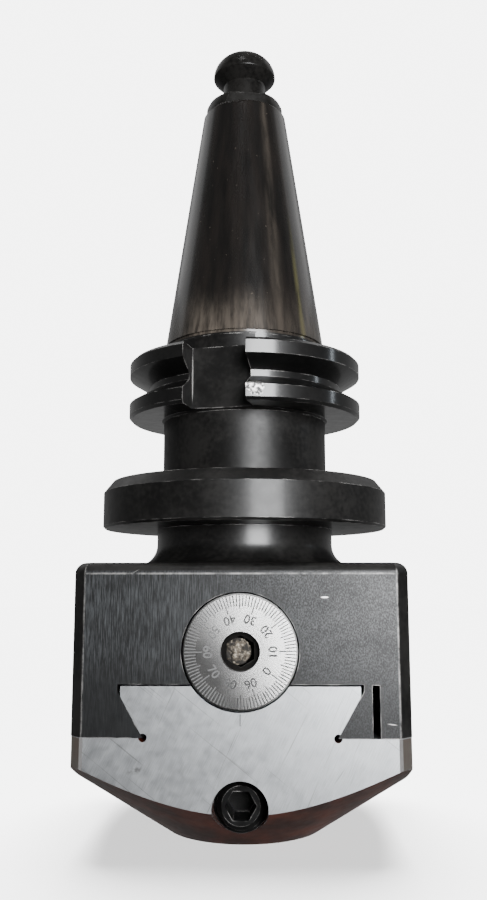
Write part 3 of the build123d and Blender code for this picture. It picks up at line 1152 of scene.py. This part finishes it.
@dataclass
class Block:
    """The head's block and the screws that are set in it."""

    block: str = "head_body"
    boss_radius: float = 23.6 * MM
    boss_height: float = 9.7 * MM
    flare: float = 5.6 * MM
    lock_hole: float = 2.75 * MM
    flare_steps: int = 180
    screws: tuple[str, ...] = ("gib_screw_front", "gib_screw_back", "slide_lock_screw",
                               "arbor_lock_screw", "nut_set_screw")
    bronzes: tuple[str, ...] = ("lead_nut", "arbor_lock_pad")
    oxide: BlockOxide = field(default_factory=BlockOxide)
    screw_oxide: BlackOxide = field(default_factory=lambda: BlackOxide(
        "screw_oxide", grey(0.01), grey(0.022), roughness=0.34, wear=0.4, wear_radius=0.2 * MM))
    bronze: TurnedMetal = field(default_factory=lambda: TurnedMetal(
        "turned_bronze", (0.6, 0.4, 0.18, 1.0), (0.4, 0.25, 0.1, 1.0)))

    def boss_flare(self) -> bpy.types.Object:
        """The smooth hollow round the boss's foot, open where the arbor's lock screw goes in.

        Returns:
            The new piece.
        """
        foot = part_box(self.block)[1].z - self.boss_height
        ring = arc((self.boss_radius + self.flare, foot + self.flare), (self.flare, self.flare), 270, 180, 18)
        shape = turned(ring, self.flare_steps)
        hole = Vector((0.0, 0.0, foot + self.boss_height / 2))
        holed = []
        for face in shape.faces:
            middle = face.calc_center_median()
            away = Vector((middle.x, 0.0, middle.z)) - hole
            if middle.y > 0.0 and away.length < self.lock_hole:
                holed.append(face)
        bmesh.ops.delete(shape, geom=holed, context="FACES")
        made = piece("boss_flare", shape, self.oxide, Body.HEAD)
        smooth(made)
        return made

    def dress(self) -> None:
        """Gives the block, its screws and its bronzes their finishes."""
        wear(self.block, self.oxide)
        for screw in self.screws:
            wear(screw, self.screw_oxide)
        for bronze in self.bronzes:
            wear(bronze, self.bronze)


@dataclass
class Dial:
    """The graduated dial with its lead screw, and the numbers and lines on its face."""

    ring: str = "dial_ring"
    screw: str = "lead_screw"
    pin: str = "dial_pin"
    divisions: int = 100
    number_step: int = 10
    first_number: int = 10
    first_angle: float = math.radians(0.7)
    line_width: float = 0.24 * MM
    line_rise: float = 0.012 * MM
    rim_inset: float = 0.42 * MM
    tens_inner: float = 8.75 * MM
    fives_inner: float = 9.6 * MM
    ones_inner: float = 10.25 * MM
    number_radius: float = 7.45 * MM
    number_height: float = 2.0 * MM
    number_weight: float = 0.035 * MM
    number_extrude: float = 0.02
    dirt_radius: float = 3.1 * MM
    dirt_depth: float = 1.3 * MM
    dirt_inset: float = 0.7 * MM
    dirt_aside: Pair = (-0.6 * MM, -0.1 * MM)
    dirt_lump: float = 0.3
    dirt_grain: float = 2.2
    dirt_octaves: int = 4
    ink: Ink = field(default_factory=Ink)
    muck: Muck = field(default_factory=Muck)
    screw_oxide: BlackOxide = field(default_factory=lambda: BlackOxide(
        "dark_screw", grey(0.0015, 0.1), grey(0.004, 0.15), gloss=0.03, wear=0.05))

    def __post_init__(self) -> None:
        """Reads the dial's place from the frame."""
        low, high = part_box(self.ring)
        self.middle: Vector = Vector(((low.x + high.x) / 2, low.y, (low.z + high.z) / 2))
        self.radius: float = (high.x - low.x) / 2
        screw_low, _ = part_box(self.screw)
        self.screw_face: float = screw_low.y

    def angle(self, number: float) -> float:
        """Where a number stands, counter-clockwise from +X as seen from the front."""
        return self.first_angle + (number - self.first_number) * math.tau / self.divisions

    def place(self, number: float, radius: float) -> Matrix:
        """A place on the dial's face for a number.

        Args:
            number: The dial reading.
            radius: Distance from the dial's axis.

        Returns:
            A transform whose X runs along the dial, Y to its middle and Z out of its face.
        """
        turn = self.angle(number)
        out = Vector((math.cos(turn), 0.0, math.sin(turn)))
        along = Vector((-math.sin(turn), 0.0, math.cos(turn)))
        spot = self.middle + out * radius
        columns = Matrix((along, -out, Vector((0.0, -1.0, 0.0)))).transposed().to_4x4()
        return Matrix.Translation(spot) @ columns

    def inner(self, mark: int) -> float:
        """Inner radius of a division's line.

        Args:
            mark: The division's number.

        Returns:
            The radius.
        """
        if mark % self.number_step == 0:
            return self.tens_inner
        return self.fives_inner if mark % (self.number_step // 2) == 0 else self.ones_inner

    def lines(self) -> bpy.types.Object:
        """The lines of the graduation, as one piece.

        Returns:
            The new piece.
        """
        shape = bmesh.new()
        outer = self.radius - self.rim_inset
        for mark in range(self.divisions):
            length = outer - self.inner(mark)
            size = Matrix.Diagonal((self.line_width, length, 2 * self.line_rise, 1.0))
            bmesh.ops.create_cube(shape, size=1.0, matrix=self.place(mark, outer - length / 2) @ size)
        bmesh.ops.recalc_face_normals(shape, faces=shape.faces)
        return piece("dial_lines", shape, self.ink, Body.DIAL)

    def numbers(self) -> bpy.types.Object:
        """The numbers of the graduation, as one piece.

        Returns:
            The new piece.
        """
        shape = bmesh.new()
        for number in range(0, self.divisions, self.number_step):
            curve = bpy.data.curves.new(f"number_{number}", "FONT")
            curve.body = str(number)
            curve.extrude = self.number_extrude
            text = bpy.data.objects.new(curve.name, curve)
            mesh = bpy.data.meshes.new_from_object(text)
            low = Vector([min(v.co[i] for v in mesh.vertices) for i in range(3)])
            high = Vector([max(v.co[i] for v in mesh.vertices) for i in range(3)])
            scale = self.number_height / (high.y - low.y)
            centred = Matrix.Translation(-(low + high) / 2)
            flat = Matrix.Diagonal((scale, scale, 2 * self.line_rise / (high.z - low.z), 1.0))
            mesh.transform(self.place(number, self.number_radius) @ flat @ centred)
            shape.from_mesh(mesh)
            bpy.data.objects.remove(text)
            bpy.data.curves.remove(curve)
            bpy.data.meshes.remove(mesh)
        bmesh.ops.remove_doubles(shape, verts=shape.verts, dist=MERGE)
        shape.normal_update()
        for vert in shape.verts:
            walls = [face.normal for face in vert.link_faces if abs(face.normal.y) < 0.5]
            vert.co += sum(walls, Vector()).normalized() * self.number_weight
        return piece("dial_numbers", shape, self.ink, Body.DIAL)

    def socket_dirt(self) -> bpy.types.Object:
        """The lump of dried swarf and grease in the lead screw's socket.

        Returns:
            The new piece.
        """
        shape = bmesh.new()
        bmesh.ops.create_icosphere(shape, subdivisions=5, radius=1.0)
        across, up = self.dirt_aside
        middle = Vector((self.middle.x + across, self.screw_face + self.dirt_inset, self.middle.z + up))
        for vert in shape.verts:
            lump = noise.fractal(vert.co * self.dirt_grain, 0.8, 2.0, self.dirt_octaves)
            swell = 1.0 + self.dirt_lump * lump
            vert.co = middle + Vector((
                vert.co.x * self.dirt_radius * min(1.0, swell),
                vert.co.y * self.dirt_depth * swell,
                vert.co.z * self.dirt_radius * min(1.0, swell),
            ))
        made = piece("socket_dirt", shape, self.muck, Body.DIAL)
        smooth(made, math.radians(60))
        return made

    def dress(self) -> None:
        """Gives the dial and its screw their finishes."""
        wear(self.ring, DialSatin(centre=tuple(self.middle)))
        wear(self.screw, self.screw_oxide)
        wear(self.pin, TurnedMetal("pin_steel"))

    def build(self) -> None:
        """Makes the graduation and the dirt in the socket."""
        self.lines()
        self.numbers()
        self.socket_dirt()


@dataclass
class ClampScrew:
    """The socket set screw that clamps the boring bar, with its real thread."""

    screw: str = "front_clamp_screw"
    pitch: float = 1.27 * MM
    thread_depth: float = 0.75 * MM
    crest_shares: tuple[float, ...] = (0.0, 0.12, 0.5, 0.62)
    face_radius: float = 4.45 * MM
    tip_radius: float = 4.6 * MM
    core_radius: float = 0.5 * MM
    socket_flats: float = 6.35 * MM
    socket_depth: float = 9.0 * MM
    steps: int = 72
    oxide: BlackOxide = field(default_factory=lambda: BlackOxide(
        "clamp_oxide", grey(0.002), grey(0.005), roughness=0.36, gloss=0.08, wear=1.0, wear_radius=0.3 * MM))

    def __post_init__(self) -> None:
        """Reads the screw's place from the frame."""
        low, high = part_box(self.screw)
        self.face: float = low.y
        self.tip: float = high.y
        self.radius: float = (high.x - low.x) / 2
        self.axis: Vector = Vector(((low.x + high.x) / 2, 0.0, (low.z + high.z) / 2))

    def spot(self, turn: float, radius: float, along: float) -> Vector:
        """A point by its turn about the screw's axis, its radius and its place along Y."""
        return self.axis + Vector((radius * math.sin(turn), along, radius * math.cos(turn)))

    def rows(self, shape: bmesh.types.BMesh) -> list[list[bmesh.types.BMVert]]:
        """The thread's profile at each step of one turn, moved on by its share of the pitch.

        Args:
            shape: The shape that the points are put in.

        Returns:
            One row of points along the screw for each step.
        """
        root = self.radius - self.thread_depth
        reaches = (root, root, self.radius, self.radius)
        turns = math.ceil((self.tip - self.face) / self.pitch) + 3
        rows = []
        for step in range(self.steps):
            row = []
            for index in range(turns * len(reaches)):
                whole, part = divmod(index, len(reaches))
                share = whole + self.crest_shares[part] + step / self.steps - 1.5
                along = self.face + share * self.pitch
                chamfer = min(self.face_radius + along - self.face, self.tip_radius + self.tip - along)
                reach = max(min(reaches[part], chamfer), self.core_radius)
                row.append(shape.verts.new(self.spot(math.tau * step / self.steps, reach, along)))
            rows.append(row)
        return rows

    def thread(self) -> bmesh.types.BMesh:
        """The screw's threaded wall, cut off square at both ends.

        Returns:
            The new shape.
        """
        shape = bmesh.new()
        rows = self.rows(shape)
        for step, row in enumerate(rows):
            last = step == self.steps - 1
            following = rows[0][len(self.crest_shares):] if last else rows[step + 1]
            for near, far in zip(zip(row, row[1:]), zip(following, following[1:])):
                shape.faces.new((near[0], far[0], far[1], near[1]))
        for place, outward in ((self.face, -1.0), (self.tip, 1.0)):
            everything = shape.verts[:] + shape.edges[:] + shape.faces[:]
            bmesh.ops.bisect_plane(shape, geom=everything, dist=0.0005 * MM, plane_co=(0.0, place, 0.0),
                                   plane_no=(0.0, outward, 0.0), clear_outer=True)
        return shape

    def rim(self, shape: bmesh.types.BMesh, place: float) -> list[bmesh.types.BMEdge]:
        """The open edges of the wall at one end."""
        return [edge for edge in shape.edges
                if edge.is_boundary and all(abs(vert.co.y - place) < 0.002 * MM for vert in edge.verts)]

    def build(self) -> bpy.types.Object:
        """Makes the screw with its hexagon socket, in place of the plain one.

        Returns:
            The new piece.
        """
        shape = self.thread()
        bmesh.ops.holes_fill(shape, edges=self.rim(shape, self.tip), sides=0)
        corner = self.socket_flats / 2 / math.cos(math.pi / 6)
        turns = [math.radians(30 + 60 * side) for side in range(6)]
        mouth = [shape.verts.new(self.spot(turn, corner, self.face)) for turn in turns]
        sides = [shape.edges.new(pair) for pair in zip(mouth, mouth[1:] + mouth[:1])]
        bmesh.ops.triangle_fill(shape, edges=self.rim(shape, self.face) + sides, use_beauty=True)
        walls = bmesh.ops.extrude_edge_only(shape, edges=sides)["geom"]
        floor = [vert for vert in walls if isinstance(vert, bmesh.types.BMVert)]
        bmesh.ops.translate(shape, verts=floor, vec=(0.0, self.socket_depth, 0.0))
        bmesh.ops.contextual_create(shape, geom=floor)
        bmesh.ops.recalc_face_normals(shape, faces=shape.faces)
        made = piece("threaded_clamp_screw", shape, self.oxide, Body.CLAMP)
        smooth(made)
        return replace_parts(made, self.screw)


@dataclass
class Slide:
    """The tool slide with the index line for the dial."""

    slide: str = "tool_slide"
    steel: SlideSteel = field(default_factory=SlideSteel)
    index_gap: float = 0.55 * MM
    index_length: float = 2.7 * MM
    index_width: float = 0.22 * MM
    index_rise: float = 0.012 * MM

    def index_line(self, dial: Dial) -> bpy.types.Object:
        """The line that the dial is read against.

        Args:
            dial: The dial above the line.

        Returns:
            The new piece.
        """
        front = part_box(self.slide)[0].y
        top = dial.middle.z - dial.radius - self.index_gap
        shape = bmesh.new()
        size = Matrix.Diagonal((self.index_width, 2 * self.index_rise, self.index_length, 1.0))
        spot = Matrix.Translation((dial.middle.x, front, top - self.index_length / 2))
        bmesh.ops.create_cube(shape, size=1.0, matrix=spot @ size)
        return piece("index_line", shape, dial.ink, Body.SLIDE)

    def dress(self) -> None:
        """Gives the slide its finish."""
        wear(self.slide, self.steel)


@dataclass
class Lamp:
    """A soft box that points at the head."""

    name: str
    spot: Triple
    size: Pair
    power: float
    colour: Triple = (1.0, 1.0, 1.0)
    reach: Reach = Reach.HEAD

    def hang(self, target: Vector) -> None:
        """Hangs the soft box.

        Args:
            target: The point it faces.
        """
        light = bpy.data.lights.new(self.name, "AREA")
        light.shape = "RECTANGLE"
        light.size, light.size_y = self.size
        light.energy = self.power
        light.color = self.colour
        made = put(self.name, light)
        made.location = self.spot
        made.visible_camera = False
        made.rotation_euler = (target - Vector(self.spot)).to_track_quat("-Z", "Y").to_euler()
        made.light_linking.receiver_collection = bpy.data.collections[self.reach.value]


@dataclass
class Studio:
    """The pale floor, the soft light and the camera at the photograph's angle."""

    camera_place: Triple = (6.9 * MM, -245.43 * MM, -64.96 * MM)
    pitch: float = math.radians(8.8755)
    yaw: float = math.radians(1.676)
    frame_height: float = 900.0
    focal_pixels: float = 899.5
    sensor: float = 36.0
    floor_size: float = 3.0
    sky: float = 6.0
    behind: float = 0.32
    front: float = 0.14
    depth_fade: Pair = (0.1, 0.9)
    lamps: tuple[Lamp, ...] = (
        Lamp("key", (0.19, -0.585, 0.05), (0.26, 0.36), 11.5, (0.98, 0.99, 1.0)),
        Lamp("strip", (0.65, 0.05, 0.145), (0.025, 0.08), 0.11, (0.84, 0.92, 1.0)),
        Lamp("left_rim", (-0.487, 0.341, 0.52), (0.52, 0.46), 0.55),
        Lamp("right_rim", (0.487, 0.341, 0.52), (0.52, 0.46), 0.55),
        Lamp("top", (-0.05, -0.30, 0.60), (0.07, 0.07), 0.5),
        Lamp("left_fill", (-0.70, -0.35, 0.05), (0.60, 0.80), 6.0, reach=Reach.BRIGHT),
        Lamp("right_fill", (0.70, -0.35, 0.05), (0.60, 0.80), 6.0, reach=Reach.BRIGHT),
        Lamp("back_fill", (0.0, 0.80, 0.10), (0.60, 0.80), 6.0, reach=Reach.BRIGHT),
    )
    bright: tuple[str, ...] = ("tool_slide", "dial_ring")
    sun_strength: float = 18.5
    glow_strength: float = 7.0
    sun_spread: float = math.radians(50)
    sun_tilt: float = math.radians(-25)

    def sort_pieces(self) -> None:
        """Groups the head's pieces and the floor by the lamps that reach them."""
        groups = {reach: bpy.data.collections.new(reach.value) for reach in Reach}
        for made in bpy.context.scene.objects:
            if made.type == "MESH":
                groups[Reach.HEAD].objects.link(made)
        for node in self.bright:
            groups[Reach.BRIGHT].objects.link(frame["nodes"][node])
        groups[Reach.FLOOR].objects.link(self.floor())

    def floor(self) -> bpy.types.Object:
        """A wide sheet under the lowest point of the head.

        Returns:
            The floor's object.
        """
        shape = bmesh.new()
        bmesh.ops.create_grid(shape, x_segments=4, y_segments=4, size=self.floor_size,
                              matrix=Matrix.Translation((0.0, 0.0, cad_box[0].z)))
        made = meshed("floor", shape, PaleFloor())
        made.visible_glossy = False
        made.visible_diffuse = False
        return made

    def surroundings(self) -> None:
        """A room that is pale behind the head and dimmer in front of it, seen as plain white."""
        world = bpy.data.worlds.new("studio")
        world.use_nodes = True
        nodes, links = world.node_tree.nodes, world.node_tree.links
        room = nodes["Background"]
        direction = nodes.new("ShaderNodeTexCoord")
        parts = nodes.new("ShaderNodeSeparateXYZ")
        depth = nodes.new("ShaderNodeMapRange")
        depth.interpolation_type = "SMOOTHSTEP"
        start, end = self.depth_fade
        spread = {"From Min": start, "From Max": end, "To Min": self.front, "To Max": self.behind}
        for name, value in spread.items():
            depth.inputs[name].default_value = value
        seen = nodes.new("ShaderNodeBackground")
        seen.inputs["Strength"].default_value = self.sky
        rays = nodes.new("ShaderNodeLightPath")
        choice = nodes.new("ShaderNodeMixShader")
        links.new(direction.outputs["Generated"], parts.inputs[0])
        links.new(parts.outputs["Y"], depth.inputs["Value"])
        links.new(depth.outputs["Result"], room.inputs["Strength"])
        room.inputs["Color"].default_value = grey(1.0)
        seen.inputs["Color"].default_value = grey(1.0)
        links.new(rays.outputs["Is Camera Ray"], choice.inputs[0])
        links.new(room.outputs[0], choice.inputs[1])
        links.new(seen.outputs[0], choice.inputs[2])
        links.new(choice.outputs[0], nodes["World Output"].inputs["Surface"])
        bpy.context.scene.world = world

    def overhead(self, name: str, strength: float) -> bpy.types.Object:
        """Even light from above, which keeps the floor pale out to the horizon.

        Args:
            name: The light's name.
            strength: Its strength.

        Returns:
            The light's object.
        """
        light = bpy.data.lights.new(name, "SUN")
        light.energy = strength
        light.angle = self.sun_spread
        made = put(name, light)
        made.rotation_euler = (self.sun_tilt, 0.0, 0.0)
        made.visible_glossy = False
        return made

    def floor_glow(self) -> None:
        """Light on the floor alone, which softens the head's shadow."""
        glow = self.overhead("floor_glow", self.glow_strength)
        glow.data.use_shadow = False
        glow.light_linking.receiver_collection = bpy.data.collections[Reach.FLOOR.value]

    def camera(self) -> None:
        """The camera in front of the dial side, a little below the middle and looking up."""
        data = bpy.data.cameras.new("camera")
        data.sensor_fit = "VERTICAL"
        data.sensor_width = data.sensor_height = self.sensor
        data.lens = self.focal_pixels / self.frame_height * self.sensor
        data.clip_start = 0.01
        made = put("camera", data)
        made.location = self.camera_place
        made.rotation_euler = (math.pi / 2 + self.pitch, 0.0, self.yaw)
        bpy.context.scene.camera = made

    def build(self) -> None:
        """Sets up the studio round the head."""
        target = (cad_box[0] + cad_box[1]) / 2
        self.sort_pieces()
        self.surroundings()
        for lamp in self.lamps:
            lamp.hang(target)
        self.overhead("overhead", self.sun_strength)
        self.floor_glow()
        self.camera()


def main() -> None:
    """Builds and dresses the head, then sets up the studio."""
    logging.basicConfig(level=logging.INFO, format="%(name)s: %(message)s")
    shank = Shank()
    shank.dress()
    shank.rounded_knob()
    block = Block()
    block.dress()
    block.boss_flare()
    dial = Dial()
    dial.dress()
    dial.build()
    slide = Slide()
    slide.dress()
    slide.index_line(dial)
    ClampScrew().build()
    Studio().build()


if __name__ == "__main__":
    main()
